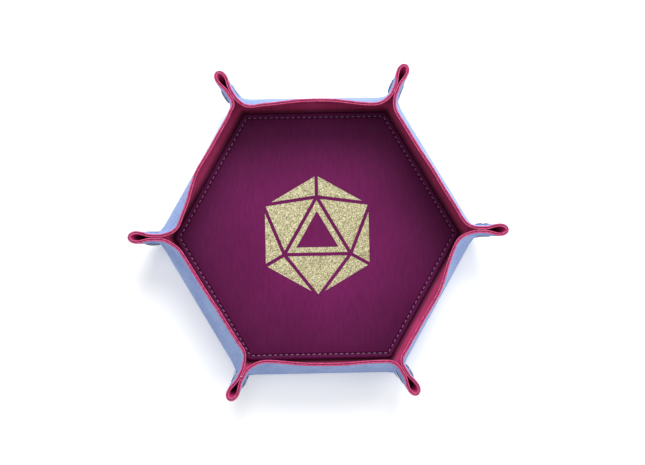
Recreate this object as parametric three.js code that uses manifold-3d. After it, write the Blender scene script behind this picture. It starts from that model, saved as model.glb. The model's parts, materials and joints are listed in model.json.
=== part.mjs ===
// A folding dice tray. A hexagonal two-layer leatherette sheet folds up along the six
// sides of a stiffened floor, and a snap fastener pinches each corner into an ear.
// +Z is up, and the origin is the centre of the underside, where the tray rests.
// Corner 1 points along +X, and wall K runs from corner K to corner K + 1.
import * as THREE from 'three';
import { mergeVertices } from 'three/addons/utils/BufferGeometryUtils.js';
import Module from 'manifold-3d';

const wasm = await Module();
wasm.setup();

// Driving dimensions, in millimetres and degrees.
const sides = 6;
const panelCorner = 95; // centre to a corner of the floor panel
const rimHeight = 43;
const foldAngle = 99; // how far a wall is turned up from flat, so it leans in by 9
const foldRadius = 4.5; // of the middle of the sheet, where floor turns into wall
const outerThickness = 1.0;
const liningThickness = 0.9;
const layerGap = 0.2;
const panelToFold = 3.5; // bare lining between the panel's edge and the fold
const earBottom = 10; // height at which the pinched ears begin
const neckOffset = 2.55; // radial plane to the middle of each half of an ear
const earTip = { low: 11.9, rim: 26.0 }; // middle of the crease beyond the panel's corner
const earTurnRadius = { low: 2.5, rim: 9 }; // where the wall turns out into the ear
const snapCentre = { beyond: 11.8, height: 30.5 }; // beyond the panel's corner
const stemHoleRadius = 1.9;
const panelTop = 5.2;
const boardThickness = 1.8;
const boardApothem = 75.5;
const stitchApothem = 78.8;
const restGap = 0.1; // between pieces that lie flat on each other
const foldGap = { outer: 7, lining: 2 }; // degrees of bend left open at each side of a fold
const turnGap = 0.75; // bend left open at each side of an ear's hinge line
const closedGap = 0.3; // radial plane to the end of each half of the crease
const boardGap = 0.3; // all round the board, inside the panel's pocket
const snapGap = 0.15; // between a snap's flanges and the sheet they hold
const roundFacets = 12;
const mergeDistance = 1e-4; // corners closer than this are one corner

const cornerTurn = 360 / sides;
const radians = THREE.MathUtils.degToRad;
const halfTurn = radians(cornerTurn / 2);
const sheetThickness = outerThickness + layerGap + liningThickness;
const sheetMiddle = sheetThickness / 2;
const panelApothem = panelCorner * Math.cos(halfTurn);
const foldStart = panelApothem + panelToFold;
const foldCentreHeight = sheetMiddle + foldRadius;
const halfEarWidth = neckOffset - closedGap;

// Offsets of each layer's two faces from the middle of the sheet, positive outwards.
const layers = {
  outer: { faces: [sheetMiddle - outerThickness, sheetMiddle], gap: foldGap.outer },
  lining: { faces: [-sheetMiddle, liningThickness - sheetMiddle], gap: foldGap.lining },
};

const leather = (color) => new THREE.MeshStandardMaterial({ color, roughness: 0.6, metalness: 0 });
const finishes = {
  outer: () => leather(0x8fb3dd),
  lining: () => leather(0x98305f),
  panel: () => new THREE.MeshStandardMaterial({ color: 0x57203f, roughness: 0.5, metalness: 0 }),
  board: () => new THREE.MeshStandardMaterial({ color: 0x8a8377, roughness: 0.9, metalness: 0 }),
  thread: () => new THREE.MeshStandardMaterial({ color: 0xd3a3c4, roughness: 0.8, metalness: 0 }),
  metal: () => new THREE.MeshStandardMaterial({ color: 0xd4d6da, roughness: 0.25, metalness: 1 }),
};

const between = (low, high, share) => low + (high - low) * share;

// Evenly spaced values from first to last, both included.
function steps(first, last, count) {
  return Array.from({ length: count + 1 }, (_, index) => between(first, last, index / count));
}

// Keeps only positions, joins shared corners and turns the faces outwards.
function closedSolid(geometry) {
  const bare = geometry.index ? geometry.toNonIndexed() : geometry.clone();
  bare.deleteAttribute('normal');
  bare.deleteAttribute('uv');
  const merged = mergeVertices(bare, mergeDistance);
  const corners = merged.getAttribute('position');
  const source = merged.getIndex().array;
  const faces = [];
  let volume = 0;
  for (let start = 0; start < source.length; start += 3) {
    const face = [source[start], source[start + 1], source[start + 2]];
    if (new Set(face).size === 3) {
      const [a, b, c] = face.map((vertex) => new THREE.Vector3().fromBufferAttribute(corners, vertex));
      volume += a.dot(b.cross(c));
      faces.push(face);
    }
  }
  merged.setIndex(faces.flatMap((face) => (volume < 0 ? [face[0], face[2], face[1]] : face)));
  return merged;
}

// A sheet between two offsets from a grid of points, closed round its four edges.
function sheetSolid(rows, [near, far]) {
  const lastRow = rows.length - 1;
  const lastColumn = rows[0].length - 1;
  const direction = (from, to) => new THREE.Vector3().subVectors(to, from).normalize();
  const face = (offset) => rows.map((row, r) => row.map((point, c) => {
    const along = direction(row[Math.max(c - 1, 0)], row[Math.min(c + 1, lastColumn)]);
    const up = direction(rows[Math.max(r - 1, 0)][c], rows[Math.min(r + 1, lastRow)][c]);
    return point.clone().addScaledVector(along.cross(up).normalize(), offset);
  }));
  const nearFace = face(near);
  const farFace = face(far);
  const positions = [];
  const quad = (a, b, c, d) => {
    for (const corner of [a, b, c, a, c, d]) {
      positions.push(...corner.toArray());
    }
  };
  for (let r = 0; r < lastRow; r += 1) {
    for (let c = 0; c < lastColumn; c += 1) {
      quad(farFace[r][c], farFace[r][c + 1], farFace[r + 1][c + 1], farFace[r + 1][c]);
      quad(nearFace[r][c], nearFace[r + 1][c], nearFace[r + 1][c + 1], nearFace[r][c + 1]);
    }
    quad(nearFace[r][0], farFace[r][0], farFace[r + 1][0], nearFace[r + 1][0]);
    quad(nearFace[r][lastColumn], nearFace[r + 1][lastColumn],
      farFace[r + 1][lastColumn], farFace[r][lastColumn]);
  }
  for (let c = 0; c < lastColumn; c += 1) {
    quad(nearFace[0][c], nearFace[0][c + 1], farFace[0][c + 1], farFace[0][c]);
    quad(nearFace[lastRow][c], farFace[lastRow][c],
      farFace[lastRow][c + 1], nearFace[lastRow][c + 1]);
  }
  const geometry = new THREE.BufferGeometry();
  geometry.setAttribute('position', new THREE.Float32BufferAttribute(positions, 3));
  return closedSolid(geometry);
}

// A hexagonal solid from a profile of [distance to the side, height] points.
function hexagonSolid(profile) {
  const outline = profile.map(([apothem, z]) => new THREE.Vector2(apothem / Math.cos(halfTurn), z));
  const turned = new THREE.LatheGeometry(outline, sides, halfTurn);
  return closedSolid(turned.rotateX(Math.PI / 2));
}

// A round solid about Y from a profile of [radius, distance along Y] points.
function roundSolid(profile) {
  const outline = profile.map(([radius, along]) => new THREE.Vector2(radius, along));
  return closedSolid(new THREE.LatheGeometry(outline, roundFacets));
}

function toManifold(geometry) {
  return new wasm.Manifold(new wasm.Mesh({
    numProp: 3,
    vertProperties: new Float32Array(geometry.getAttribute('position').array),
    triVerts: new Uint32Array(geometry.getIndex().array),
  }));
}

function cut(geometry, tool) {
  const { vertProperties, triVerts } = toManifold(geometry).subtract(toManifold(tool)).getMesh();
  const result = new THREE.BufferGeometry();
  result.setAttribute('position', new THREE.Float32BufferAttribute(vertProperties, 3));
  result.setIndex(Array.from(triVerts));
  return result;
}

// Where the middle of the sheet is, as [distance to the side, height], after a turn of the fold.
function foldPoint(angle, radius = foldRadius) {
  const turn = radians(angle);
  return [foldStart + radius * Math.sin(turn), foldCentreHeight - radius * Math.cos(turn)];
}

const [wallFoot, wallFootHeight] = foldPoint(foldAngle);

// Distance from the centre to the middle of a wall at one height.
function wallApothem(height) {
  return wallFoot + (height - wallFootHeight) / Math.tan(radians(foldAngle));
}

// Sizes of a pinched corner at one height, in the corner's own frame: X runs out
// through the corner, Y across it, and the ear's halves stand either side of Y = 0.
function cornerAt(height) {
  const share = (height - earBottom) / (rimHeight - earBottom);
  const radius = between(earTurnRadius.low, earTurnRadius.rim, share);
  const meeting = (wallApothem(height) - neckOffset * Math.sin(halfTurn)) / Math.cos(halfTurn);
  return {
    radius,
    centre: [meeting + Math.tan(halfTurn) * radius, neckOffset + radius],
    gap: THREE.MathUtils.radToDeg(turnGap / (radius + sheetMiddle)),
    tip: panelCorner + between(earTip.low, earTip.rim, share),
    height,
  };
}

// The turn from wall to ear runs round its centre between these two angles, and the
// ear's hinge line lies halfway.
const earTangent = 270;
const wallTangent = earTangent - cornerTurn;
const hingeAngle = earTangent - cornerTurn / 2;
const turnFacets = 3;

function turnPoint({ centre, radius, height }, angle) {
  const turn = radians(angle);
  return new THREE.Vector3(
    centre[0] + radius * Math.cos(turn),
    centre[1] + radius * Math.sin(turn),
    height,
  );
}

// One row of points along a wall at one height, from one ear's hinge line to the other's.
function wallRow(height) {
  const corner = cornerAt(height);
  const turned = steps(hingeAngle - corner.gap, wallTangent, turnFacets)
    .map((angle) => turnPoint(corner, angle)
      .applyAxisAngle(new THREE.Vector3(0, 0, 1), -halfTurn));
  return [...turned, ...turned.map(({ x, y, z }) => new THREE.Vector3(x, -y, z)).reverse()];
}

// A wall in a frame whose X points straight out through it.
function wallSolid({ faces, gap }) {
  const foldFacets = 3;
  const cornerClearance = 4.5;
  const bunch = 0.8; // spacing of the columns where the wall narrows to its fold
  const columns = wallRow(earBottom).length;
  const foldRows = steps(foldAngle / 2 + gap, foldAngle, foldFacets).map((angle) => {
    const [apothem, height] = foldPoint(angle);
    const halfWidth = apothem * Math.tan(halfTurn) - cornerClearance;
    return Array.from({ length: columns }, (_, column) => {
      const side = column < columns / 2 ? -1 : 1;
      const fromEnd = side < 0 ? column : columns - 1 - column;
      return new THREE.Vector3(apothem, side * (halfWidth - fromEnd * bunch), height);
    });
  });
  return sheetSolid([...foldRows, wallRow(earBottom), wallRow(rimHeight)], faces);
}

// One half of an ear, on the positive side of its corner's radial plane.
function earSolid({ faces }) {
  const crownLength = 3; // of the quarter ellipse that closes the loop
  const crownFacets = 3;
  const crease = 0.4; // straight stretch that meets the other half squarely
  const row = (height) => {
    const corner = cornerAt(height);
    const turned = steps(hingeAngle + corner.gap, earTangent, turnFacets)
      .map((angle) => turnPoint(corner, angle));
    const crownStart = Math.max(corner.tip - crownLength, corner.centre[0] + closedGap);
    const crown = steps(0, 90, crownFacets).map((angle) => new THREE.Vector3(
      crownStart + (corner.tip - crownStart) * Math.sin(radians(angle)),
      closedGap + crease + (halfEarWidth - crease) * Math.cos(radians(angle)),
      height,
    ));
    return [...turned, ...crown, new THREE.Vector3(corner.tip, closedGap, height)].reverse();
  };
  const holeLength = 20;
  const hole = new THREE.CylinderGeometry(stemHoleRadius, stemHoleRadius, holeLength, roundFacets);
  hole.translate(panelCorner + snapCentre.beyond, 0, snapCentre.height);
  return cut(sheetSolid([row(earBottom), row(rimHeight)], faces), closedSolid(hole));
}

// The floor's part of one layer, a shallow dish whose edge is the first half of the fold.
function floorSolid({ faces, gap }, groove) {
  const foldFacets = 3;
  const [top, bottom] = faces.map((offset) => foldRadius + offset);
  const angles = steps(0, foldAngle / 2 - gap, foldFacets);
  const underside = foldCentreHeight - bottom;
  return hexagonSolid([
    [0, underside],
    ...groove,
    ...angles.map((angle) => foldPoint(angle, bottom)),
    ...[...angles].reverse().map((angle) => foldPoint(angle, top)),
    [0, foldCentreHeight - top],
  ]);
}

// The corners of a square-bottomed groove in a level face.
function grooveProfile(face, depth, halfWidth) {
  return [
    [stitchApothem - halfWidth, face],
    [stitchApothem - halfWidth, face + depth],
    [stitchApothem + halfWidth, face + depth],
    [stitchApothem + halfWidth, face],
  ];
}

// A ring of thread lying in a groove, from one height to another.
function threadSolid(low, high) {
  const halfWidth = 0.4;
  const [inner, outer] = [stitchApothem - halfWidth, stitchApothem + halfWidth];
  return hexagonSolid([[inner, low], [outer, low], [outer, high], [inner, high], [inner, low]]);
}

const grooveHalfWidth = 0.7;
const grooveDepth = 0.5;
const threadInset = 0.1;
const boardBottom = sheetThickness + restGap;
const boardTop = boardBottom + boardThickness;

// The floor's smooth cover, hollow underneath for the board, with a rounded edge.
function panelSolid() {
  const edgeRadius = 1.4;
  const edgeFacets = 3;
  const pocketApothem = boardApothem + boardGap;
  const edge = steps(90, 0, edgeFacets).map((angle) => [
    panelApothem - edgeRadius + edgeRadius * Math.cos(radians(angle)),
    panelTop - edgeRadius + edgeRadius * Math.sin(radians(angle)),
  ]);
  return hexagonSolid([
    [0, panelTop],
    ...grooveProfile(panelTop, -grooveDepth, grooveHalfWidth),
    ...edge,
    [panelApothem, boardBottom],
    [pocketApothem, boardBottom],
    [pocketApothem, boardTop + restGap],
    [0, boardTop + restGap],
  ]);
}

function boardSolid() {
  return hexagonSolid([
    [0, boardBottom],
    [boardApothem, boardBottom],
    [boardApothem, boardTop],
    [0, boardTop],
  ]);
}

// The snap's pieces, turned about Y, which crosses the ear's radial plane at zero.
const stemRadius = 1.5;
const flangeRadius = 4.2;
const leatherOutside = neckOffset + sheetMiddle + snapGap;
const leatherInside = neckOffset - sheetMiddle - snapGap;

function snapCap() {
  const capRadius = 5;
  const domeHeight = 1.45;
  const domeFacets = 3;
  const rimSlope = 20; // degrees left of the dome where it drops to its flat back
  const stemProud = 0.2; // how far the clenched stem stands inside the sheet
  const dome = steps(90, rimSlope, domeFacets).map((angle) => [
    capRadius * Math.cos(radians(angle)),
    leatherOutside + domeHeight * Math.sin(radians(angle)),
  ]);
  const stemEnd = leatherInside - stemProud;
  return roundSolid([
    ...dome,
    [capRadius, leatherOutside],
    [stemRadius, leatherOutside],
    [stemRadius, stemEnd],
    [0, stemEnd],
  ]);
}

function snapSocket() {
  const bore = 2.5;
  const wall = 3.8;
  const lip = 1.8;
  const flangeThickness = 0.4;
  const mouth = -0.9;
  const flangeBack = leatherInside - flangeThickness;
  return roundSolid([
    [lip, leatherInside],
    [flangeRadius, leatherInside],
    [wall, mouth],
    [bore, mouth],
    [bore, flangeBack],
    [lip, flangeBack],
    [lip, leatherInside],
  ]);
}

function snapStud() {
  const knobRadius = 1.9;
  const knobEnd = 0.5;
  const knobBevel = 0.3;
  const flangeTop = -1.15;
  const headRadius = 4.5;
  const headBevel = 1;
  const headThickness = 0.65;
  const headEnd = -leatherOutside - headThickness;
  return roundSolid([
    [0, knobEnd],
    [knobRadius, knobEnd - knobBevel],
    [knobRadius, flangeTop],
    [flangeRadius, flangeTop],
    [flangeRadius, -leatherInside],
    [stemRadius, -leatherInside],
    [stemRadius, -leatherOutside],
    [headRadius, -leatherOutside],
    [headRadius - headBevel, headEnd],
    [0, headEnd],
  ]);
}

const tray = new THREE.Group();

function add(parent, name, geometry, material) {
  const mesh = new THREE.Mesh(geometry, material);
  mesh.name = name;
  parent.add(mesh);
  return mesh;
}

function turnedGroup(angle) {
  const group = new THREE.Group();
  group.rotation.z = radians(angle);
  tray.add(group);
  return group;
}

function addFloor() {
  const underside = grooveProfile(0, grooveDepth, grooveHalfWidth);
  add(tray, 'base_outer', floorSolid(layers.outer, underside), finishes.outer());
  add(tray, 'base_lining', floorSolid(layers.lining, []), finishes.lining());
  add(tray, 'stiffener_board', boardSolid(), finishes.board());
  add(tray, 'floor_panel', panelSolid(), finishes.panel());
  const threadBottom = panelTop - grooveDepth + threadInset;
  add(tray, 'needle_thread', threadSolid(threadBottom, panelTop - threadInset), finishes.thread());
  add(tray, 'bobbin_thread', threadSolid(threadInset, grooveDepth - threadInset), finishes.thread());
}

function addWall(number) {
  const place = turnedGroup(cornerTurn * (number - 0.5));
  for (const [layer, sheet] of Object.entries(layers)) {
    add(place, `wall_${number}_${layer}`, wallSolid(sheet), finishes[layer]());
  }
}

function addEar(number) {
  const place = turnedGroup(cornerTurn * (number - 1));
  for (const [layer, sheet] of Object.entries(layers)) {
    add(place, `ear_${number}_cap_${layer}`, earSolid(sheet), finishes[layer]());
    add(place, `ear_${number}_stud_${layer}`, earSolid(sheet), finishes[layer]()).scale.y = -1;
  }
  const fasteners = { cap: snapCap(), socket: snapSocket(), stud: snapStud() };
  for (const [piece, geometry] of Object.entries(fasteners)) {
    const mesh = add(place, `snap_${number}_${piece}`, geometry, finishes.metal());
    mesh.position.set(panelCorner + snapCentre.beyond, 0, snapCentre.height);
  }
}

addFloor();
for (let number = 1; number <= sides; number += 1) {
  addWall(number);
  addEar(number);
}

export default tray;
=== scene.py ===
"""Looks of the folding dice tray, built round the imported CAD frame.

The two-layer sheet is made again as fine skins: one per wall and layer, which bends over the
floor's fold, and one per half ear and layer, which bends over the soft corner turn.
"""
import json
import math
import random

import bmesh
import bpy
import numpy as np
from mathutils import Matrix, Vector


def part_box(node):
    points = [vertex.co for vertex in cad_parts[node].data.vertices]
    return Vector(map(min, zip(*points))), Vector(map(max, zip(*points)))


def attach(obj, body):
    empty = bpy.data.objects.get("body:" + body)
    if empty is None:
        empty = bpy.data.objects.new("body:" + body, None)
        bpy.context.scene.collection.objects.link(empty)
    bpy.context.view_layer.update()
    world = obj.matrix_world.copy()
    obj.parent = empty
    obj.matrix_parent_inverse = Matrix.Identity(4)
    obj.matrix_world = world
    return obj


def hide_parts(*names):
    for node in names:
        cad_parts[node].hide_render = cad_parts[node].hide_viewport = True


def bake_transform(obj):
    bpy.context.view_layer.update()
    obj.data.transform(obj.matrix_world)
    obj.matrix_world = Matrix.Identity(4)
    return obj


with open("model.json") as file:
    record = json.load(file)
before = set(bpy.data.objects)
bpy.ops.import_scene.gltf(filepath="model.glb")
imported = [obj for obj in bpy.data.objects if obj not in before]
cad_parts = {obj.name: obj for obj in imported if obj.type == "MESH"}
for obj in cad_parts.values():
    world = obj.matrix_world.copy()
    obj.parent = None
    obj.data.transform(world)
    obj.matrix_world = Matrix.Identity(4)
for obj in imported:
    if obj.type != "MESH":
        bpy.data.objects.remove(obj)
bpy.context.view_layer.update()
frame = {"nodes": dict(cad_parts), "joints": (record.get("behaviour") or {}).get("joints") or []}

# ---------------------------------------------------------------- sizes, in metres
MM = 0.001
SIDES = 6
CORNER_TURN = math.tau / SIDES
HALF_TURN = CORNER_TURN / 2
COS_HALF = math.cos(HALF_TURN)
SIN_HALF = math.sin(HALF_TURN)

# Places taken from the frame.
JOINTS = {joint["name"]: joint for joint in frame["joints"]}
PANEL_LOW, PANEL_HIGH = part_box("floor_panel")
PANEL_CORNER = PANEL_HIGH.x
PANEL_SIDE = PANEL_HIGH.y
PANEL_TOP = PANEL_HIGH.z
THREAD_HALF_WIDTH = 0.4 * MM
STITCH_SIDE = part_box("needle_thread")[1].y - THREAD_HALF_WIDTH
SNAP_LOW, SNAP_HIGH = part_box("snap_1_cap")
SNAP_OUT = (SNAP_LOW.x + SNAP_HIGH.x) / 2
SNAP_HEIGHT = (SNAP_LOW.z + SNAP_HIGH.z) / 2
RIM = (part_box("wall_2_outer")[1].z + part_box("wall_2_lining")[1].z) / 2

# The sheet and the fold beside the floor.
OUTER_THICKNESS = 1.0 * MM
LINING_THICKNESS = 0.9 * MM
PANEL_GAP = 0.1 * MM  # between the sheet and the panel on it
SHEET_THICKNESS = PANEL_LOW.z - PANEL_GAP
SHEET_MIDDLE = SHEET_THICKNESS / 2
LAYERS = {  # each layer's two faces, outwards from the sheet's middle
    "outer": (SHEET_MIDDLE - OUTER_THICKNESS, SHEET_MIDDLE),
    "lining": (-SHEET_MIDDLE, LINING_THICKNESS - SHEET_MIDDLE),
}
FOLD_RADIUS = 4.5 * MM
FOLD_ANGLE = math.radians(99)
FOLD_START = PANEL_SIDE + 3.5 * MM
SKIRT = 2 * MM  # how far the wall skins run in under the floor panel's edge
WALL_PATCH = 34 * MM  # half the length of a wall between its two corner patches
EAR_SPLIT = 6.3 * MM  # below this height the corner moves with its wall

# The corners low down, where they are plain and round.
BASE_CORNER = 8 * MM  # radius under the floor
FOOT_CORNER = 18 * MM  # radius just above it
FOOT_RUN = 5 * MM  # height over which one becomes the other
FIN_HEIGHTS = (2.5 * MM, 11.5 * MM)  # between these a plain corner becomes an ear

# The ears. Half widths are from the radial plane to the sheet's middle.
EAR_BOTTOM = 10 * MM
TURN_RADIUS = (2.5 * MM, 9 * MM)  # from wall to neck, at EAR_BOTTOM and at the rim
LEAST_TURN_RADIUS = 0.8 * MM
NECK = 2.55 * MM  # half width at the snap
RIM_NECK = 1.2 * MM  # half width at the rim
NECK_FLARE = 0.5 * MM  # how much wider the neck gets below the snap
FLARE_RUN = 14 * MM
LOOP = 3.05 * MM  # half width of the loop at the rim
LOOP_BOTTOM = 0.6 * RIM  # where the loop begins to open
CROWN_LENGTH = (3.0 * MM, 4.6 * MM)  # at EAR_BOTTOM and at the rim
LEAST_NECK_LENGTH = 0.4 * MM
LEAST_WIDENING = 0.1 * MM
TIP_BEYOND = (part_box("ear_1_cap_outer")[1].x - SHEET_MIDDLE) - PANEL_CORNER
TIP_SLOPE = 14.1 / 33  # how far an ear's tip runs out for each step up
CREASE_GAP = 0.005 * MM  # from the radial plane to each half of an ear

# How far each ear's neck and tip stand to one side of the radial plane, at the rim.
EAR_SWAY = {
    1: (-0.7 * MM, -1.2 * MM),
    2: (0.2 * MM, 2.6 * MM),
    3: (3.0 * MM, 3.2 * MM),
    4: (2.6 * MM, 2.0 * MM),
    5: (1.3 * MM, 2.0 * MM),
    6: (0.4 * MM, 0.0),
}
SWAY_FADE = (3.5 * MM, 12.5 * MM)  # beside the radial plane, where the sway fades out

# How far each wall's rim stands out of true at its earlier corner, its middle and its later
# corner: soft walls are pulled in by the snapped corners and bow out between them.
RIM_SET = {
    1: (-1.2 * MM, -1.6 * MM, -2.0 * MM),
    2: (-3.2 * MM, 0.3 * MM, -2.6 * MM),
    3: (1.9 * MM, 2.1 * MM, -3.6 * MM),
    4: (-2.2 * MM, -3.0 * MM, -3.8 * MM),
    5: (-2.2 * MM, 0.8 * MM, -0.6 * MM),
    6: (0.9 * MM, 1.4 * MM, -3.8 * MM),
}
RIM_SET_BOTTOM = 8 * MM  # height at which a wall begins to leave true
RIM_SET_POWER = 1.3
RIM_SET_END = 38 * MM  # from a wall's middle to where its end values hold
RIM_SET_GONE = 49 * MM  # and to where the ear's neck has taken over
RIPPLES = ((0.2 * MM, 11 * MM, 1.0), (0.16 * MM, 6.3 * MM, -1.7))  # depth, length, share of phase
RIPPLE_BOTTOM = 12 * MM
RIPPLE_PHASE = 2.4  # from one wall to the next

# The stitches, and what they press into the panel and the underside.
STITCH_PITCH = 3.7 * MM
STITCH_LENGTH = 2.2 * MM
STITCH_RADIUS = 0.28 * MM
STITCH_BOW = 0.34 * MM
STITCH_END = 0.55  # a stitch's radius at its ends, as a share of its middle's
STITCH_FLATNESS = 0.8
PLY_RELIEF = 0.16  # how far the two plies stand out of the round
PLY_TWIST = 4.5  # radians from a stitch's middle to its end
STITCH_SINK = 0.12 * MM  # how far a stitch's ends dive below its place
STITCH_SKEW = (2, 9)  # least and most, in degrees
STITCH_DRIFT = 0.05 * MM  # most that a stitch sits high or low
NEEDLE_HEIGHT = PANEL_TOP - 0.62 * MM
BOBBIN_HEIGHT = 0.25 * MM
BOBBIN_BOW = -0.3  # the bobbin stitches bow down, and less than the needle's
HOLE_DEPTH = 0.75 * MM
HOLE_REACH = 0.55 * MM
HOLE_EDGE = 2.5 * HOLE_REACH  # where a hole has faded out
SEWN_HALF_WIDTH = 1.4 * MM  # of the channel in the underside
SEWN_DEPTH = 0.45 * MM

# The floor panel's cover.
COVER_INSET = 0.05 * MM  # how far the cover's side stands in from the CAD panel's
COVER_DROP = 0.25 * MM  # how far its top is below the CAD panel's, apart from its crown
COVER_CORNER = (4 * MM, 1.2 * MM)  # its corners' radius at the edge, and the least further in
ROLL_WIDTH = 1.6 * MM
ROLL_DROP = 1.5 * MM
COVER_DENT = (0.42 * MM, 0.75 * MM)  # depth and reach of the dent along the stitches
COVER_CROWN = (0.30 * MM, 7 * MM)  # how far the middle stands up, and over what distance from the stitches
COVER_SWELL = 0.07 * MM  # unevenness of the middle
SWELL_INSETS = (4 * MM, 24 * MM)  # in from the edge, between which the unevenness comes in

# The foil print.
FOIL_RADIUS = 41 * MM
FOIL_FACE = 0.62  # the front facet's size beside the outline's
FOIL_TOP = PANEL_TOP + 0.17 * MM
FOIL_DEPTH = 0.3 * MM
FOIL_BARE = 1.05 * MM  # from a facet's true edge to its foil
FOIL_BEVEL = 0.15 * MM
LEAST_MITRE = 0.2  # keeps a sharp facet's points from moving in too far
FOIL_FRAME = 4.6 * MM  # from the front facet's true edge to its inner outline
FOIL_STEPS = 12  # points along each side of a facet


def mix(low, high, share):
    return low + (high - low) * share


def share_of(value, limits):
    """0 at the first limit and 1 at the second."""
    first, second = limits
    return (value - first) / (second - first)


def smooth(share):
    """An S-curve from 0 to 1, flat beyond both."""
    share = np.clip(share, 0.0, 1.0)
    return share * share * (3 - 2 * share)


def wall_angle(number):
    return CORNER_TURN * (number - 0.5)


def corner_angle(number):
    return CORNER_TURN * (number - 1)


def hexagon_distance(across, up):
    """How far out a point is, measured square to the nearest side."""
    sides = []
    for number in range(1, SIDES + 1):
        angle = wall_angle(number)
        sides.append(across * math.cos(angle) + up * math.sin(angle))
    return np.max(sides, axis=0)


# ---------------------------------------------------------------- shader calls
WHITE = (1, 1, 1, 1)
OPENNESS = "openness"  # the attribute that make_piece() stores: how open each point is to light, for painted shade


def linear(red, green, blue):
    """A display colour, 0 to 255, as the linear colour that shaders use."""
    def channel(value):
        value /= 255
        return value / 12.92 if value <= 0.04045 else ((value + 0.055) / 1.055) ** 2.4

    return (channel(red), channel(green), channel(blue), 1.0)


class Shader:
    """A material with a Principled BSDF and short calls that add nodes to it."""

    def __init__(self, name, **inputs):
        self.material = bpy.data.materials.new(name)
        self.material.use_nodes = True
        self.tree = self.material.node_tree
        self.surface = self.tree.nodes["Principled BSDF"]
        self.place = self.add("ShaderNodeTexCoord").outputs["Object"]
        self.feed(self.surface, inputs)

    def feed(self, node, inputs):
        """Sets a node's inputs, by name or number, to values or to other nodes' outputs."""
        for name, value in inputs.items():
            if isinstance(value, bpy.types.NodeSocket):
                self.tree.links.new(value, node.inputs[name])
            else:
                node.inputs[name].default_value = value

    def add(self, kind, inputs=None, **settings):
        node = self.tree.nodes.new(kind)
        for name, value in settings.items():
            setattr(node, name, value)
        self.feed(node, inputs or {})
        return node

    def vector_math(self, operation, first, second):
        return self.add("ShaderNodeVectorMath", {0: first, 1: second}, operation=operation).outputs[0]

    def noise(self, size, detail=3.0, roughness=0.5, stretch=(1.0, 1.0, 1.0)):
        place = self.vector_math("MULTIPLY", self.place, stretch)
        inputs = {"Vector": place, "Scale": 1 / size, "Detail": detail, "Roughness": roughness}
        return self.add("ShaderNodeTexNoise", inputs).outputs["Fac"]

    def warped(self, size, amount):
        """The place, pushed about by noise, so that cells get uneven outlines."""
        inputs = {"Vector": self.place, "Scale": 1 / size, "Detail": 2.0}
        noise = self.add("ShaderNodeTexNoise", inputs).outputs["Color"]
        return self.vector_math("ADD", self.place, self.vector_math("MULTIPLY", noise, (amount,) * 3))

    def cells(self, size, place):
        """Distance to the nearest border between leather-like cells."""
        inputs = {"Vector": place, "Scale": 1 / size}
        return self.add("ShaderNodeTexVoronoi", inputs, feature="DISTANCE_TO_EDGE").outputs["Distance"]

    def openness(self):
        """How far light reaches a point of the sheet, 0 to 1."""
        return self.add("ShaderNodeAttribute", attribute_name=OPENNESS).outputs["Fac"]

    def height(self):
        return self.add("ShaderNodeSeparateXYZ", {"Vector": self.place}).outputs["Z"]

    def from_middle(self):
        return self.add("ShaderNodeVectorMath", {0: self.place}, operation="LENGTH").outputs["Value"]

    def remap(self, value, low, high, new_low=0.0, new_high=1.0):
        inputs = {"Value": value, "From Min": low, "From Max": high}
        inputs.update({"To Min": new_low, "To Max": new_high})
        return self.add("ShaderNodeMapRange", inputs).outputs["Result"]

    def math(self, operation, first, second):
        return self.add("ShaderNodeMath", {0: first, 1: second}, operation=operation).outputs[0]

    def relief(self, coarse, fine, fine_share):
        """Two heights added, the second at a share of its own."""
        return self.math("ADD", coarse, self.math("MULTIPLY", fine, fine_share))

    def colours(self, value, stops):
        node = self.add("ShaderNodeValToRGB", {"Fac": value})
        ramp = node.color_ramp.elements
        while len(ramp) < len(stops):
            ramp.new(1.0)
        for element, (position, colour) in zip(ramp, stops):
            element.position = position
            element.color = colour
        return node.outputs["Color"]

    def blend_colours(self, how, share, first, second):
        """A Mix node's colour sockets come after its number and vector ones, at 6 and 7 in and 2 out."""
        inputs = {0: share, 6: first, 7: second}
        return self.add("ShaderNodeMix", inputs, data_type="RGBA", blend_type=how).outputs[2]

    def darken(self, colour, value, shade):
        """Colour, multiplied by shade where value is 0 and left alone where it is 1."""
        tone = self.blend_colours("MIX", value, shade, WHITE)
        return self.blend_colours("MULTIPLY", 1.0, colour, tone)

    def finish(self, colour, roughness, height=None, depth=0.0):
        self.feed(self.surface, {"Base Color": colour, "Roughness": roughness})
        if height is not None:
            bump = self.add("ShaderNodeBump", {"Height": height, "Distance": depth, "Strength": 1.0})
            self.feed(self.surface, {"Normal": bump.outputs["Normal"]})
        return self.material


# ---------------------------------------------------------------- materials
def pebbled_leather():
    """Light blue leatherette with a raised pebble grain."""
    s = Shader("outer_leatherette", **{"Specular IOR Level": 0.55})
    edges = s.cells(1.5 * MM, s.warped(2.6 * MM, 0.9 * MM))
    pebble = s.remap(edges, 0.0, 0.32)
    patches = s.noise(22 * MM, 4.0)
    colour = s.colours(patches, [(0.3, linear(122, 152, 216)), (0.7, linear(154, 182, 234))])
    colour = s.darken(colour, s.remap(edges, 0.0, 0.14), (0.40, 0.47, 0.64, 1))
    fine = s.noise(0.35 * MM, 2.0)
    return s.finish(colour, s.remap(fine, 0.3, 0.7, 0.40, 0.56), s.relief(pebble, fine, 0.25), 0.24 * MM)


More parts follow.
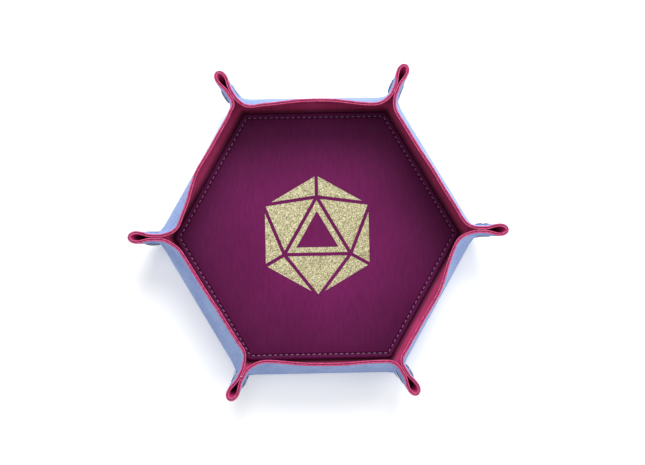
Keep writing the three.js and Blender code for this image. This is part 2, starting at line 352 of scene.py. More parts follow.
def fine_leather():
    """Raspberry lining with a tight grain, with painted shade under the panel's edge and inside the ears'
    loops.
    """
    s = Shader("lining_leatherette", **{"Specular IOR Level": 0.25})
    edges = s.cells(0.7 * MM, s.warped(1.5 * MM, 0.4 * MM))
    patches = s.noise(18 * MM, 5.0, 0.6)
    colour = s.colours(patches, [(0.28, linear(178, 42, 102)), (0.72, linear(206, 66, 128))])
    colour = s.darken(colour, s.remap(edges, 0.0, 0.16), (0.62, 0.55, 0.60, 1))
    # painted shade: the lining darkens where the openness attribute says light hardly reaches, under the
    # panel's edge and down inside the ears' loops
    colour = s.darken(colour, s.openness(), (0.07, 0.10, 0.12, 1))
    height = s.relief(s.remap(edges, 0.0, 0.3), s.noise(0.3 * MM, 2.0), 0.4)
    return s.finish(colour, s.remap(patches, 0.3, 0.7, 0.46, 0.6), height, 0.08 * MM)


def panel_leather():
    """Smooth plum leatherette, faintly streaked, with painted shade darkening it outwards towards the
    walls and most on its rolled edge.
    """
    s = Shader("panel_leatherette", **{"Specular IOR Level": 0.08})
    cloud = s.noise(60 * MM, 4.0, 0.5)
    colour = s.colours(cloud, [(0.30, linear(102, 20, 78)), (0.70, linear(114, 26, 88))])
    streaks = s.noise(1.6 * MM, 4.0, 0.6, stretch=(1.0, 0.22, 1.0))
    colour = s.darken(colour, s.remap(streaks, 0.35, 0.6), (0.86, 0.80, 0.86, 1))
    # painted shade: darker outwards, towards the walls
    colour = s.darken(colour, s.remap(s.from_middle(), 88 * MM, 36 * MM), (0.58, 0.70, 0.62, 1))
    grain = s.cells(0.55 * MM, s.warped(1.2 * MM, 0.35 * MM))
    colour = s.darken(colour, s.remap(grain, 0.0, 0.15), (0.82, 0.78, 0.82, 1))
    # painted shade down the panel's rolled edge, in the groove beside the walls
    rolled = s.remap(s.height(), PANEL_TOP - 1.5 * MM, PANEL_TOP - 0.5 * MM)
    colour = s.darken(colour, rolled, (0.30, 0.30, 0.34, 1))
    rub = s.noise(6 * MM, 8.0, 0.7)
    height = s.relief(s.remap(grain, 0.0, 0.28), s.noise(0.25 * MM, 2.0), 0.5)
    return s.finish(colour, s.remap(rub, 0.35, 0.7, 0.55, 0.42), height, 0.035 * MM)


def painted_edge():
    """The raspberry paint along the rims' cut edges, uneven where it soaked in."""
    s = Shader("painted_edge", **{"Specular IOR Level": 0.25})
    blots = s.noise(1.3 * MM, 4.0, 0.6)
    stops = [(0.3, linear(160, 46, 90)), (0.5, linear(200, 74, 122)), (0.75, linear(226, 108, 152))]
    fibres = s.noise(0.4 * MM, 3.0)
    return s.finish(s.colours(blots, stops), s.remap(fibres, 0.3, 0.7, 0.5, 0.75), fibres, 0.14 * MM)


def glue_line():
    """The dark line between the two layers' edges, broken where paint bridges it."""
    s = Shader("glue_line", **{"Specular IOR Level": 0.15})
    breaks = s.noise(0.9 * MM, 3.0, 0.6)
    colour = s.colours(breaks, [(0.46, linear(58, 14, 32)), (0.6, linear(150, 44, 84))])
    return s.finish(colour, 0.8, breaks, 0.1 * MM)


def sewing_thread(name, dark, light):
    """Thread with short fibres of two tones."""
    s = Shader(name, **{"Sheen Weight": 0.1, "Specular IOR Level": 0.2})
    fibres = s.noise(0.22 * MM, 4.0, 0.7)
    colour = s.colours(fibres, [(0.3, dark), (0.65, light)])
    return s.finish(colour, 0.72, fibres, 0.05 * MM)


def nickel_plate():
    """Plated snap metal with smears and fine handling marks, its base colour darker than bare nickel as a
    painted reflection of dark surroundings.
    """
    s = Shader("snap_nickel", Metallic=1.0)
    smears = s.noise(3 * MM, 5.0, 0.65)
    # painted reflection: the base colour is kept dark so the caps look as if they reflect dark
    # surroundings; the smears vary it
    colour = s.colours(smears, [(0.3, linear(112, 114, 122)), (0.7, linear(160, 162, 170))])
    marks = s.noise(0.3 * MM, 4.0, 0.75)
    return s.finish(colour, s.remap(smears, 0.3, 0.7, 0.07, 0.18), marks, 0.004 * MM)


def gold_foil():
    """Pressed foil of fine glittering flakes in a dull gold."""
    s = Shader("gold_foil", Metallic=0.35)
    flakes = s.add("ShaderNodeTexVoronoi", {"Vector": s.place, "Scale": 1 / (0.5 * MM)}).outputs["Color"]
    tone, gloss, lift = s.add("ShaderNodeSeparateColor", {"Color": flakes}).outputs
    stops = [(0.0, linear(108, 101, 68)), (0.5, linear(172, 166, 124)), (1.0, linear(222, 218, 182))]
    return s.finish(s.colours(tone, stops), s.remap(gloss, 0.0, 1.0, 0.28, 0.6), lift, 0.12 * MM)


def grey_board():
    """The stiffener's grey card, mottled with pressed fibres."""
    s = Shader("stiffener_card", **{"Specular IOR Level": 0.2})
    fibres = s.noise(1.2 * MM, 8.0, 0.8)
    colour = s.colours(fibres, [(0.3, linear(120, 112, 100)), (0.7, linear(164, 156, 142))])
    return s.finish(colour, 0.9, fibres, 0.08 * MM)


OUTER = pebbled_leather()
LINING = fine_leather()
PANEL = panel_leather()
EDGE = painted_edge()
GLUE = glue_line()
NEEDLE_THREAD = sewing_thread("needle_thread_mauve", linear(96, 60, 90), linear(162, 124, 156))
BOBBIN_THREAD = sewing_thread("bobbin_thread_blue", linear(196, 208, 226), linear(240, 244, 250))
NICKEL = nickel_plate()
FOIL = gold_foil()
BOARD = grey_board()
PAINTED = 1  # a sheet piece's material numbers after its leather, which is 0
GLUED = 2


# ---------------------------------------------------------------- mesh helpers
MERGE_DISTANCE = 0.002 * MM
SHARP_ANGLE = math.radians(50)
CORNER_FACETS = 8
# Where the painted shade under the panel's edge lifts, and where an ear loop's painted shade comes in:
# past the panel's edge, out past the snaps and down from the rim.
PANEL_SHADE = (0.8 * MM, 3.0 * MM)
LOOP_SHADE_OUT = (2 * MM, 7 * MM)
LOOP_SHADE_DOWN = (2 * MM, 14 * MM)


def openness(points):
    """How open the sheet is to light, for the lining's painted shade: 0 where the sheet runs in under the
    floor panel's edge or down inside an ear's loop, else 1.
    """
    across, up, height = points.T
    past_panel = hexagon_distance(across, up) - PANEL_SIDE + np.maximum(height - PANEL_LOW.z, 0)
    in_loop = smooth(share_of(np.hypot(across, up) - SNAP_OUT, LOOP_SHADE_OUT))
    deep = smooth(share_of(RIM - height, LOOP_SHADE_DOWN))
    return np.clip(share_of(past_panel, PANEL_SHADE), 0, 1) * (1 - in_loop * deep)


def make_piece(name, data, materials, replaces=()):
    """A mesh object from a MeshData."""
    mesh = bpy.data.meshes.new(name)
    mesh.from_pydata([tuple(map(float, vertex)) for vertex in data.vertices], [], data.faces)
    for material in materials:
        mesh.materials.append(material)
    mesh.polygons.foreach_set("material_index", data.finishes)
    tidy = bmesh.new()
    tidy.from_mesh(mesh)
    bmesh.ops.remove_doubles(tidy, verts=tidy.verts, dist=MERGE_DISTANCE)
    bmesh.ops.recalc_face_normals(tidy, faces=tidy.faces)
    tidy.to_mesh(mesh)
    tidy.free()
    points = np.array([vertex.co for vertex in mesh.vertices])
    mesh.attributes.new(OPENNESS, "FLOAT", "POINT").data.foreach_set("value", openness(points))
    mesh.shade_smooth()
    mesh.set_sharp_from_angle(angle=SHARP_ANGLE)
    piece = bpy.data.objects.new(name, mesh)
    bpy.context.scene.collection.objects.link(piece)
    if replaces:
        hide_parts(*replaces)
    return piece


class MeshData:
    """Collects faces from grids and rings of points, each face with its material number."""

    def __init__(self):
        self.vertices = []
        self.faces = []
        self.finishes = []

    def add_grid(self, grid, finish=0, wrap=False):
        """Faces between neighbouring points of a [rows, columns, 3] grid; wrap closes its rows."""
        rows, columns = grid.shape[:2]
        first = len(self.vertices)
        self.vertices.extend(grid.reshape(-1, 3))
        for row in range(rows - 1):
            for column in range(columns if wrap else columns - 1):
                after = (column + 1) % columns
                low = first + row * columns
                high = low + columns
                self.faces.append((low + column, low + after, high + after, high + column))
                self.finishes.append(finish)

    def add_fan(self, ring):
        """One face across a closed ring of points."""
        first = len(self.vertices)
        self.vertices.extend(ring)
        self.faces.append(tuple(range(first, first + len(ring))))
        self.finishes.append(0)

    def add_tube(self, rings):
        """Faces round a run of closed rings, with a face across each end."""
        self.add_grid(np.array(rings), wrap=True)
        self.add_fan(rings[0])
        self.add_fan(rings[-1])


def turned(points, angle):
    """Points turned about Z."""
    cosine, sine = math.cos(angle), math.sin(angle)
    points = np.asarray(points, float)
    return np.stack([
        points[..., 0] * cosine - points[..., 1] * sine,
        points[..., 0] * sine + points[..., 1] * cosine,
        points[..., 2],
    ], axis=-1)


def circle(angles):
    """Points on the unit circle."""
    return np.stack([np.cos(angles), np.sin(angles)], axis=1)


def hexagon_ring(side, height, per_side, radius):
    """Points round a hexagon with rounded corners, at one height."""
    flat = side * math.tan(HALF_TURN) - radius * math.tan(HALF_TURN)
    centre = Vector(((side - radius) / COS_HALF, 0))
    ring = []
    for corner in range(SIDES):
        for step in np.linspace(-HALF_TURN, HALF_TURN, CORNER_FACETS + 1)[:-1]:
            point = (centre.x + radius * math.cos(step), radius * math.sin(step), height)
            ring.append(turned(point, CORNER_TURN * corner))
        for step in np.linspace(-flat, flat, per_side)[:-1]:
            ring.append(turned((side, step, height), CORNER_TURN * (corner + 0.5)))
    return np.array(ring)


# ---------------------------------------------------------------- the sheet's shape
def section(distance):
    """Distance to the side and height of the sheet's middle, this far out from the fold's start."""
    if distance < 0:
        return FOLD_START + distance, SHEET_MIDDLE
    turn = min(distance / FOLD_RADIUS, FOLD_ANGLE)
    beyond = distance - turn * FOLD_RADIUS
    side = FOLD_START + FOLD_RADIUS * math.sin(turn) + beyond * math.cos(FOLD_ANGLE)
    height = SHEET_MIDDLE + FOLD_RADIUS * (1 - math.cos(turn)) + beyond * math.sin(FOLD_ANGLE)
    return side, height


FOLD_LENGTH = FOLD_RADIUS * FOLD_ANGLE
FOOT = section(FOLD_LENGTH)
RIM_DISTANCE = FOLD_LENGTH + (RIM - FOOT[1]) / math.sin(FOLD_ANGLE)
SPLIT_DISTANCE = FOLD_LENGTH + (EAR_SPLIT - FOOT[1]) / math.sin(FOLD_ANGLE)
SKIRT_ROWS = 2
FOLD_ROWS = 12
HIGH_ROWS = 26
SPLIT_ROW = SKIRT_ROWS + FOLD_ROWS  # the grids' row at EAR_SPLIT
WALL_COLUMNS = 61
STRAIGHT_COLUMNS = 8  # along an ear's path, and so on for the three below
TURN_COLUMNS = 10
NECK_COLUMNS = 12
CROWN_COLUMNS = 11
LEVELS = np.concatenate([
    np.linspace(-SKIRT, 0, SKIRT_ROWS + 1)[:-1],
    np.linspace(0, SPLIT_DISTANCE, FOLD_ROWS + 1),
    np.linspace(SPLIT_DISTANCE, RIM_DISTANCE, HIGH_ROWS + 1)[1:],
])


def rim_lean(number, across, height):
    """How far a wall stands out of true, across from its middle towards its later corner."""
    earlier, middle, later = RIM_SET[number]
    share = np.clip(share_of(height, (RIM_SET_BOTTOM, RIM)), 0, 1) ** RIM_SET_POWER
    end = np.where(across > 0, later, earlier)
    distance = np.abs(across)
    along = mix(middle, end, smooth(distance / RIM_SET_END))
    fade = 1 - smooth(share_of(distance, (RIM_SET_END, RIM_SET_GONE)))
    return share * along * fade


def rim_ripple(number, across, height):
    """Small waves in a wall's rim, none at the ends of its patch."""
    share = smooth(share_of(height, (RIPPLE_BOTTOM, RIM)))
    window = np.cos(np.clip(across / WALL_PATCH, -1, 1) * math.pi / 2) ** 2
    phase = number * RIPPLE_PHASE
    waves = [depth * np.sin(across / length + turn * phase) for depth, length, turn in RIPPLES]
    return share * window * sum(waves)


def ear_sway(number, out, height):
    """How far to one side an ear's point is pulled, this far out from the tray's middle."""
    neck, tip = EAR_SWAY[number]
    along = mix(neck, tip, smooth((out - PANEL_CORNER) / TIP_BEYOND))
    return along * smooth(share_of(height, (EAR_SPLIT, RIM)))


def patch_end(side):
    """Where the middle patch of a wall ends, in the frame of the corner beside it."""
    return np.array([side * COS_HALF + WALL_PATCH * SIN_HALF, side * SIN_HALF - WALL_PATCH * COS_HALF])


def corner_path(side, count, radius):
    """A plain rounded corner of the hexagon, from the wall patch's end to the radial plane."""
    centre = np.array([(side - radius) / COS_HALF, 0])
    round_count = count * 2 // 3
    arc = centre + radius * circle(np.linspace(HALF_TURN, 0, round_count))
    arc[-1][1] = CREASE_GAP
    start = patch_end(side)
    straight = start + (arc[0] - start) * np.linspace(0, 1, count - round_count + 1)[:-1, None]
    return np.concatenate([straight, arc])


def fin_path(side, height):
    """From the wall patch's end, round into the neck, along it past the snap and round the crown."""
    share = share_of(height, (EAR_BOTTOM, RIM))
    radius = max(mix(*TURN_RADIUS, share), LEAST_TURN_RADIUS)
    pinch = smooth(share_of(height, (SNAP_HIGH.z, RIM)))
    flare = smooth((SNAP_LOW.z - height) / FLARE_RUN)
    neck = mix(NECK, RIM_NECK, pinch) + flare * NECK_FLARE
    meeting = (side - neck * SIN_HALF) / COS_HALF
    centre = np.array([meeting + math.tan(HALF_TURN) * radius, neck + radius])
    turn = centre + radius * circle(np.linspace(math.pi + HALF_TURN, 1.5 * math.pi, TURN_COLUMNS))
    start = patch_end(side)
    straight = start + (turn[0] - start) * np.linspace(0, 1, STRAIGHT_COLUMNS + 1)[:-1, None]
    neck_start = turn[-1][0]
    tip = PANEL_CORNER + TIP_BEYOND - (RIM - height) * TIP_SLOPE
    loop = mix(NECK, LOOP, smooth(share_of(height, (LOOP_BOTTOM, RIM))))
    crown_start = max(tip - mix(*CROWN_LENGTH, max(share, 0)), neck_start + LEAST_NECK_LENGTH)
    narrow = max(min(SNAP_OUT, crown_start), neck_start)
    along = np.linspace(neck_start, crown_start, NECK_COLUMNS + 1)[1:]
    widen = smooth((along - narrow) / max(crown_start - narrow, LEAST_WIDENING))
    neck_line = np.stack([along, mix(neck, loop, widen)], axis=1)
    crown_size = np.array([tip - crown_start, neck_line[-1][1] - CREASE_GAP])
    crown_turn = circle(np.linspace(math.pi / 2, 0, CROWN_COLUMNS + 1)[1:])
    crown = np.array([crown_start, CREASE_GAP]) + crown_size * crown_turn
    return np.concatenate([straight, turn, neck_line, crown])


def ear_path(side, height, ends_lean):
    """The sheet's middle at one height, from the wall patch's end to the crease.

    It is in the corner's frame: X runs out through the corner and Y across it. Low down the path
    is a plain corner, and higher up an ear.
    """
    fin = fin_path(side, height)
    from_wall_middle = fin @ np.array([SIN_HALF, -COS_HALF])
    fin = fin + np.outer(ends_lean(from_wall_middle, height), [COS_HALF, SIN_HALF])
    low_radius = mix(BASE_CORNER, FOOT_CORNER, smooth((height - SHEET_MIDDLE) / FOOT_RUN))
    plain = corner_path(side, len(fin), low_radius)
    return mix(plain, fin, smooth(share_of(height, FIN_HEIGHTS)))


def wall_grid(number):
    """The middle of a wall between its corner patches, in the wall's own frame."""
    across = np.linspace(-WALL_PATCH, WALL_PATCH, WALL_COLUMNS)
    rows = []
    for distance in LEVELS:
        side, height = section(distance)
        out = side + rim_lean(number, across, height) + rim_ripple(number, across, height)
        rows.append(np.stack([out, across, np.full_like(across, height)], axis=1))
    return np.array(rows)


def corner_grid(wall, later):
    """The middle of the sheet from one end of a wall's patch to the crease, in the corner's frame.

    The corner is the wall's later one or its earlier one, and the grid is always on the +Y side.
    """
    towards = 1 if later else -1
    rows = []
    for distance in LEVELS:
        side, height = section(distance)
        path = ear_path(side, height, lambda middle, level: rim_lean(wall, towards * middle, level))
        rows.append(np.column_stack([path, np.full(len(path), height)]))
    return np.array(rows)


def normals_of(grid):
    """Unit normals of a grid, by differences between its neighbours."""
    up = np.gradient(grid, axis=0)
    across = np.gradient(grid, axis=1)
    across[:, -1] = grid[:, -1] - grid[:, -2]
    normal = np.cross(across, up)
    return normal / np.linalg.norm(normal, axis=2, keepdims=True)


def corner_normals(grid):
    """As normals_of, but outwards, and square to the crease at the radial plane."""
    normal = normals_of(grid)
    if normal[-1, 0, 0] < 0:
        normal = -normal
    normal[:, -1, 1] = 0
    normal[:, -1] /= np.linalg.norm(normal[:, -1], axis=1, keepdims=True)
    return normal


def corner_sheet(wall, later):
    """Middles and outward normals of the sheet at one end of a wall, in the tray's frame."""
    grid = corner_grid(wall, later)
    flip = np.array([1, -1 if later else 1, 1])
    corner = wall % SIDES + 1 if later else wall
    near = 1 - smooth(share_of(grid[..., 1], SWAY_FADE))
    middle = grid * flip
    middle[..., 1] += near * ear_sway(corner, grid[..., 0], grid[..., 2])
    angle = corner_angle(corner)
    return turned(middle, angle), turned(corner_normals(grid) * flip, angle)


# ---------------------------------------------------------------- sheet pieces
RIM_ROUND = 0.34  # how far a cut edge is rounded, as a share of its layer's thickness
RIM_STRIPS = 6
BASE_STEPS = 60  # points along each side of the base
CHANNEL_RINGS = 9
GRID_ENDS = {
    "low": (0, slice(None)),
    "high": (-1, slice(None)),
    "first": (slice(None), 0),
    "last": (slice(None), -1),
}


def sheet_faces(data, middle, normal, faces, rim, ends):
    """Adds the two faces of a stretch of sheet, its open ends and, where it has one, its rim.

    The rim is painted, apart from its strip beside the other layer, which is the glue line.
    """
    near = middle + normal * faces[0]
    far = middle + normal * faces[1]
    data.add_grid(far)
    data.add_grid(near)
    if rim:
        up = middle[-1] - middle[-2]
        up /= np.linalg.norm(up, axis=1, keepdims=True)
        strips = []
        for step in np.linspace(0, 1, RIM_STRIPS + 1):
            lift = RIM_ROUND * (faces[1] - faces[0]) * math.sin(math.pi * step)
            strips.append(mix(near[-1], far[-1], step) + up * lift)
        if faces[0] < 0:
            strips.reverse()
        data.add_grid(np.array(strips[:2]), finish=GLUED)
        data.add_grid(np.array(strips[1:]), finish=PAINTED)
    for end in ends:
        data.add_grid(np.array([near[GRID_ENDS[end]], far[GRID_ENDS[end]]]))


def sheet_piece(node, data, finish):
    return make_piece(f"{node}_skin", data, [finish, EDGE, GLUE], [node])


def wall_skin(number, layer, finish):
    """One wall of one layer with both its low corners, bending over the floor's fold."""
    data = MeshData()
    faces = LAYERS[layer]
    angle = wall_angle(number)
    grid = wall_grid(number)
    middle = turned(grid, angle)
    normal = turned(normals_of(grid), angle)
    sheet_faces(data, middle, normal, faces, rim=True, ends=["low"])
    low = slice(0, SPLIT_ROW + 1)
    for later, edge in ((False, 0), (True, -1)):
        closing = [(middle + normal * offset)[SPLIT_ROW:, edge] for offset in faces]
        data.add_grid(np.array(closing))
        corner, outward = corner_sheet(number, later)
        sheet_faces(data, corner[low], outward[low], faces, rim=False, ends=["low", "high", "last"])
    piece = sheet_piece(f"wall_{number}_{layer}", data, finish)
    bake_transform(piece)


def ear_skin(number, half, layer, finish):
    """Half an ear of one layer, bending over the soft turn from its wall."""
    side = 1 if half == "cap" else -1
    wall = number if side > 0 else (number - 2) % SIDES + 1
    middle, outward = corner_sheet(wall, later=side < 0)
    data = MeshData()
    ends = ["low", "first", "last"]
    sheet_faces(data, middle[SPLIT_ROW:], outward[SPLIT_ROW:], LAYERS[layer], rim=True, ends=ends)
    piece = sheet_piece(f"ear_{number}_{half}_{layer}", data, finish)
    joint = JOINTS[f"ear_{number}_{half}_crease"]
    axis = Vector(joint["axis"]).normalized()
    across = Vector(turned((COS_HALF, -SIN_HALF * side, 0), corner_angle(number)))
    across = (across - axis * across.dot(axis)).normalized()
    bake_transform(piece)


def floor_layer(name, layer, finish, low, high, channel=0.0):
    """The flat middle of one layer, under the floor panel, its low face pressed in where it's sewn."""
    side = FOLD_START - SKIRT
    outline = [(side, high), (side, low)]
    for step in np.linspace(-math.pi, math.pi, CHANNEL_RINGS):
        out = STITCH_SIDE - step / math.pi * SEWN_HALF_WIDTH
        outline.append((out, low + channel * (1 + math.cos(step)) / 2))
    data = MeshData()
    data.add_tube([hexagon_ring(out, height, BASE_STEPS, BASE_CORNER) for out, height in outline])
    piece = make_piece(name, data, [finish], [f"base_{layer}"])
    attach(piece, "tray_floor")


# ---------------------------------------------------------------- floor panel and stitches
COVER_STEPS = 170  # points along each side of the cover
STITCH_RINGS = 13
STITCH_FACETS = 12


def stitch_places():
    """(middle, direction) of each stitch round the hexagon, at height zero."""
    length = 2 * STITCH_SIDE * math.tan(HALF_TURN)
    count = round(length / STITCH_PITCH)
    places = []
    for number in range(1, SIDES + 1):
        angle = wall_angle(number)
        along = Vector((-math.sin(angle), math.cos(angle), 0))
        out = Vector((math.cos(angle), math.sin(angle), 0))
        for step in range(count):
            offset = ((step + 0.5) / count - 0.5) * length
            places.append((out * STITCH_SIDE + along * offset, along))
    return places


def cover_height(inset):
    """Height of the cover's top, this far in from its edge: a rolled edge, a sewn line and a crown."""
    past_stitches = inset - (PANEL_SIDE - STITCH_SIDE)
    rolled = min(inset / ROLL_WIDTH, 1.0)
    edge = -ROLL_DROP * (1 - math.sqrt(1 - (1 - rolled) ** 2))
    depth, reach = COVER_DENT
    dent = -depth * math.exp(-(past_stitches / reach) ** 2)
    rise, run = COVER_CROWN
    return PANEL_TOP - COVER_DROP + edge + dent + rise * smooth(past_stitches / run)


def panel_skin():
    """The padded floor cover: rolled edge, dented where it's sewn and gently uneven over the board."""
    insets = np.concatenate([
        ROLL_WIDTH * (1 - np.cos(np.linspace(0, math.pi / 2, 8))),  # over the rolled edge
        np.linspace(1.9, 6.5, 24) * MM,  # close together over the stitches
        np.linspace(8, 78, 30) * MM,  # wide apart over the middle
    ])
    edge_radius, least_radius = COVER_CORNER
    rings = [hexagon_ring(PANEL_SIDE - COVER_INSET, PANEL_LOW.z, COVER_STEPS, edge_radius)]
    for inset in insets:
        side = PANEL_SIDE - inset - COVER_INSET
        radius = max(edge_radius - inset, least_radius)
        rings.append(hexagon_ring(side, cover_height(inset), COVER_STEPS, radius))
    grid = np.array(rings)
    grid[..., 2] += panel_swell(grid)
    pucker_panel(grid)
    data = MeshData()
    data.add_tube(grid)
    piece = make_piece("floor_panel_cover", data, [PANEL], ["floor_panel"])
    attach(piece, "tray_floor")


def panel_swell(grid):
    """How far each point of the cover stands up or down, in long and short soft waves."""
    inset = PANEL_SIDE - hexagon_distance(grid[..., 0], grid[..., 1])
    across = grid[..., 0] / MM
    up = grid[..., 1] / MM
    long_waves = np.sin(across / 17 + 0.6) * np.sin(up / 21 - 0.4)
    short_waves = 0.5 * np.sin(across / 9 - up / 13)
    return COVER_SWELL * (long_waves + short_waves) * smooth(share_of(inset, SWELL_INSETS))


def pucker_panel(grid):
    """Presses a needle hole into the panel between one stitch and the next."""
    flat = grid.reshape(-1, 3)
    distance = hexagon_distance(flat[:, 0], flat[:, 1])
    near = np.abs(distance - STITCH_SIDE) < HOLE_EDGE
    chosen = flat[near]
    for middle, along in stitch_places():
        hole = middle + along * (STITCH_PITCH / 2)
        gap = np.hypot(chosen[:, 0] - hole.x, chosen[:, 1] - hole.y)
        chosen[:, 2] -= HOLE_DEPTH * np.exp(-(gap / HOLE_REACH) ** 2)
    flat[near] = chosen
    grid[:] = flat.reshape(grid.shape)


def add_stitch(data, middle, along, height, bow):
    """One two-ply stitch that bows out of the sheet and dives into a needle hole at each end."""
    across = Vector((0, 0, 1)).cross(along)
    rings = []
    for step in np.linspace(-1, 1, STITCH_RINGS):
        lift = bow * ((1 - step * step) * STITCH_BOW - STITCH_SINK)
        slim = STITCH_RADIUS * mix(STITCH_END, 1, math.sqrt(1 - step ** 4))
        centre = middle + along * (step * STITCH_LENGTH / 2)
        ring = []
        for around in np.linspace(0, math.tau, STITCH_FACETS, endpoint=False):
            ply = slim * (1 + PLY_RELIEF * math.cos(2 * (around - step * PLY_TWIST)))
            point = centre + across * (ply * math.cos(around))
            rise = lift + ply * math.sin(around) * STITCH_FLATNESS
            ring.append((point.x, point.y, height + rise))
        rings.append(ring)
    data.add_tube(rings)


def stitch_line(node, height, bow, finish):
    """A row of stitches, each a little skewed; bow is how far they bow up beside the needle's."""
    data = MeshData()
    rng = random.Random(4)
    for middle, along in stitch_places():
        skew = Matrix.Rotation(math.radians(rng.uniform(*STITCH_SKEW)), 3, "Z")
        drift = rng.uniform(-STITCH_DRIFT, STITCH_DRIFT)
        add_stitch(data, middle, skew @ along, height + drift, bow)
    piece = make_piece(f"{node}_stitches", data, [finish], [node])
    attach(piece, "tray_floor")


# ---------------------------------------------------------------- foil print
def moved_in(points, distance):
    """An anticlockwise polygon with each side moved in by the same distance."""
    count = len(points)
    moved = []
    for index in range(count):
        before, here, after = (Vector(points[(index + step) % count]) for step in (-1, 0, 1))
        first = (here - before).normalized()
        second = (after - here).normalized()
        inwards = Vector((-first.y, first.x))
        bisector = (inwards + Vector((-second.y, second.x))).normalized()
        moved.append(here + bisector * (distance / max(bisector.dot(inwards), LEAST_MITRE)))
    return moved


def subdivided(ring, count):
    """A closed outline with each side cut into equal steps."""
    points = np.array(ring, float)
    return np.concatenate([
        start + (end - start) * np.linspace(0, 1, count, endpoint=False)[:, None]
        for start, end in zip(points, np.roll(points, -1, axis=0))
    ])


def die_facets():
    """The facets of a twenty-sided die seen square on, the front one first, all anticlockwise."""
    def spoke(step, radius):
        angle = math.pi / 2 + CORNER_TURN * step
        return Vector((math.cos(angle), math.sin(angle))) * radius

    outline = [spoke(step, FOIL_RADIUS) for step in range(SIDES)]
    face = [spoke(2 * step, FOIL_RADIUS * FOIL_FACE) for step in range(3)]
    facets = [tuple(face)]
    for step in range(3):
        near = face[step]
        corner = outline[2 * step]
        left = outline[2 * step + 1]
        right = outline[2 * step - 1]
        facets += [(near, left, face[(step + 1) % 3]), (near, corner, left), (near, right, corner)]
    return facets


def foil_print():
    """A generic twenty-sided die in pressed gold foil, with bare lines between its facets."""
    data = MeshData()
    heights = (FOIL_TOP - FOIL_DEPTH, FOIL_TOP, FOIL_TOP, FOIL_TOP - FOIL_DEPTH)
    for number, facet in enumerate(die_facets()):
        framed = number == 0
        insets = [FOIL_BARE, FOIL_BARE + FOIL_BEVEL]
        if framed:
            insets += [FOIL_FRAME, FOIL_FRAME + FOIL_BEVEL]
        rings = []
        for inset, height in zip(insets, heights):
            ring = [(point.x, point.y, height) for point in moved_in(facet, inset)]
            rings.append(subdivided(ring, FOIL_STEPS))
        if framed:
            data.add_grid(np.array(rings + [rings[0]]), wrap=True)
        else:
            data.add_tube(rings)
    piece = make_piece("foil_die_print", data, [FOIL])
    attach(piece, "tray_floor")


# ---------------------------------------------------------------- snaps
# Their profiles are in millimetres, as (radius, distance along the ear's own Y) points.
SNAP_FACETS = 56
AXIS_RADIUS = 0.001  # a profile's end on the axis is this small a ring


def lathe(name, profile, number, node, body):
    """A round piece of one corner's snap, following that ear's sway."""
    angles = np.linspace(0, math.tau, SNAP_FACETS, endpoint=False)
    rings = []
    for radius, along in profile:
        radius = max(radius, AXIS_RADIUS) * MM
        beside = np.full(SNAP_FACETS, along * MM)
        ring = np.stack([radius * np.cos(angles), beside, radius * np.sin(angles)], axis=1)
        ring += np.array([SNAP_OUT, 0, SNAP_HEIGHT])
        ring[:, 1] += ear_sway(number, ring[:, 0], ring[:, 2])
        rings.append(turned(ring, corner_angle(number)))
    data = MeshData()
    data.add_tube(rings)
    piece = make_piece(name, data, [NICKEL], [node])
    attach(piece, body)


def arc(centre, radius, first, last, count=7):
    """Points along an arc in a snap's profile, in degrees from the radius direction."""
    angles = np.radians(np.linspace(first, last, count))
    return [tuple(point) for point in np.array(centre) + radius * circle(angles)]


def snap_cap_profile():
    """A pressed dome with a rolled edge, and the hollow post that is clenched in the socket."""
    base = 3.78
    dome = [(4.45 * math.sin(a), base + 0.42 + math.cos(a)) for a in np.linspace(0.0, math.pi / 2, 14)]
    roll = arc((4.55, base + 0.33), 0.42, 40, -90)
    return [*dome[:-2], *roll, (1.5, base), (1.5, 1.1), (1.2, 0.95), (0.0, 0.95)]


def snap_socket_profile():
    """The socket's flange and cup, closed on itself round its bore."""
    flange = arc((4.0, 1.15), 0.2, 80, -60, 5)
    rim = [*arc((3.45, -0.5), 0.38, 0, -90, 5), *arc((2.75, -0.65), 0.25, -90, -180, 4)]
    return [(1.8, 1.30), *flange, (3.85, 0.9), *rim, (2.5, 0.9), (1.8, 0.95), (1.8, 1.30)]


def snap_stud_profile():
    """The stud's ball and flange, its post through the sheet and the post's domed head."""
    ball = arc((1.45, 0.0), 0.45, 80, -60)
    flange = arc((4.0, -1.25), 0.12, 90, -90, 5)
    brim = arc((4.25, -3.97), 0.2, 80, -30, 4)
    head = [(4.2 * math.sin(a), -3.95 - 0.42 * math.cos(a)) for a in np.linspace(math.pi / 2, 0.0, 9)]
    return [(0.0, 0.45), *ball, (1.5, -0.9), *flange, (1.5, -1.37), (1.5, -3.78), *brim, *head[1:]]


SNAP_PARTS = (
    ("cap", snap_cap_profile(), "cap"),
    ("socket", snap_socket_profile(), "cap"),
    ("stud", snap_stud_profile(), "stud"),
)


def add_snap(number):
    for part, profile, half in SNAP_PARTS:
        node = f"snap_{number}_{part}"
        lathe(f"{node}_plated", profile, number, node, f"ear_{number}_{half}_half")


# ---------------------------------------------------------------- stage, lights and camera
STAGE_SIZE = 3.0
STAGE_HEIGHT = -0.2 * MM  # just under the stitches
STAGE_GLOW = 0.22
AIR_STRENGTH = 0.5
LIGHTS = {  # place, size and energy; all face the tray
    "key": ((0.15, 0.95, 1.10), 0.9, 17),
    "fill": ((0.95, 0.20, 0.95), 1.0, 4),
    "top": ((-0.2, 0.15, 1.6), 0.7, 4),
}
CAMERA_DISTANCE = 1.0
CAMERA_LEAN = (math.radians(-1.9), math.radians(-4.0))  # off overhead, along X and Y
CAMERA_ROLL = math.radians(-1.0)
CAMERA_AIM = Vector((3.7, 2.0, 0)) * MM
LENS = 83.7
SENSOR_WIDTH = 36


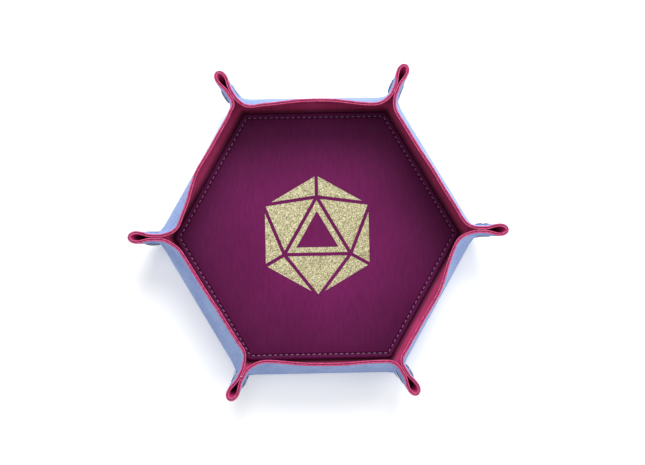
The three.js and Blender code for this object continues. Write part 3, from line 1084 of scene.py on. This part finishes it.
def add_stage():
    """A plain pale paper floor and even white air."""
    bpy.ops.mesh.primitive_plane_add(size=STAGE_SIZE, location=(0, 0, STAGE_HEIGHT))
    floor = bpy.context.object
    floor.name = "studio_floor"
    s = Shader("studio_floor_paper")
    tone = s.colours(s.noise(300 * MM, 2.0), [(0.3, (0.90, 0.90, 0.905, 1)), (0.7, (0.93, 0.93, 0.93, 1))])
    s.feed(s.surface, {"Emission Color": WHITE, "Emission Strength": STAGE_GLOW})
    floor.data.materials.append(s.finish(tone, 0.9))
    world = bpy.data.worlds.new("studio_air")
    world.use_nodes = True
    air = world.node_tree.nodes["Background"].inputs
    air["Color"].default_value = WHITE
    air["Strength"].default_value = AIR_STRENGTH
    bpy.context.scene.world = world
    bpy.context.scene.view_settings.view_transform = "Standard"


def add_light(name, place, size, energy):
    lamp = bpy.data.lights.new(name, "AREA")
    lamp.shape = "DISK"
    lamp.size = size
    lamp.energy = energy
    light = bpy.data.objects.new(name, lamp)
    light.location = place
    light.rotation_euler = (-Vector(place)).to_track_quat("-Z", "Y").to_euler()
    bpy.context.scene.collection.objects.link(light)


def add_camera():
    """Nearly overhead, standing a little towards the tray's near side, with a slight roll."""
    camera_data = bpy.data.cameras.new("photo_camera")
    camera_data.lens = LENS
    camera_data.sensor_width = SENSOR_WIDTH
    camera = bpy.data.objects.new("photo_camera", camera_data)
    back = Vector((math.sin(CAMERA_LEAN[0]), math.sin(CAMERA_LEAN[1]), 1)).normalized()
    right = Vector((1, 0, 0))
    right = (right - back * right.dot(back)).normalized()
    facing = Matrix((right, back.cross(right), back)).transposed()
    facing = facing @ Matrix.Rotation(CAMERA_ROLL, 3, "Z")
    camera.matrix_world = Matrix.Translation(CAMERA_AIM + back * CAMERA_DISTANCE) @ facing.to_4x4()
    bpy.context.scene.collection.objects.link(camera)
    bpy.context.scene.camera = camera


# ---------------------------------------------------------------- assembly
for tray_side in range(1, SIDES + 1):
    for sheet_layer, leather in (("outer", OUTER), ("lining", LINING)):
        wall_skin(tray_side, sheet_layer, leather)
        for ear_half in ("cap", "stud"):
            ear_skin(tray_side, ear_half, sheet_layer, leather)
    add_snap(tray_side)

floor_layer("base_outer_skin", "outer", OUTER, 0.0, OUTER_THICKNESS, SEWN_DEPTH)
floor_layer("base_lining_skin", "lining", LINING, SHEET_THICKNESS - LINING_THICKNESS, SHEET_THICKNESS)
panel_skin()
stitch_line("needle_thread", NEEDLE_HEIGHT, 1, NEEDLE_THREAD)
stitch_line("bobbin_thread", BOBBIN_HEIGHT, BOBBIN_BOW, BOBBIN_THREAD)
foil_print()
board = frame["nodes"]["stiffener_board"]
board.data.materials.clear()
board.data.materials.append(BOARD)

add_stage()
for light_name, (light_place, light_size, light_energy) in LIGHTS.items():
    add_light(light_name, light_place, light_size, light_energy)
add_camera()
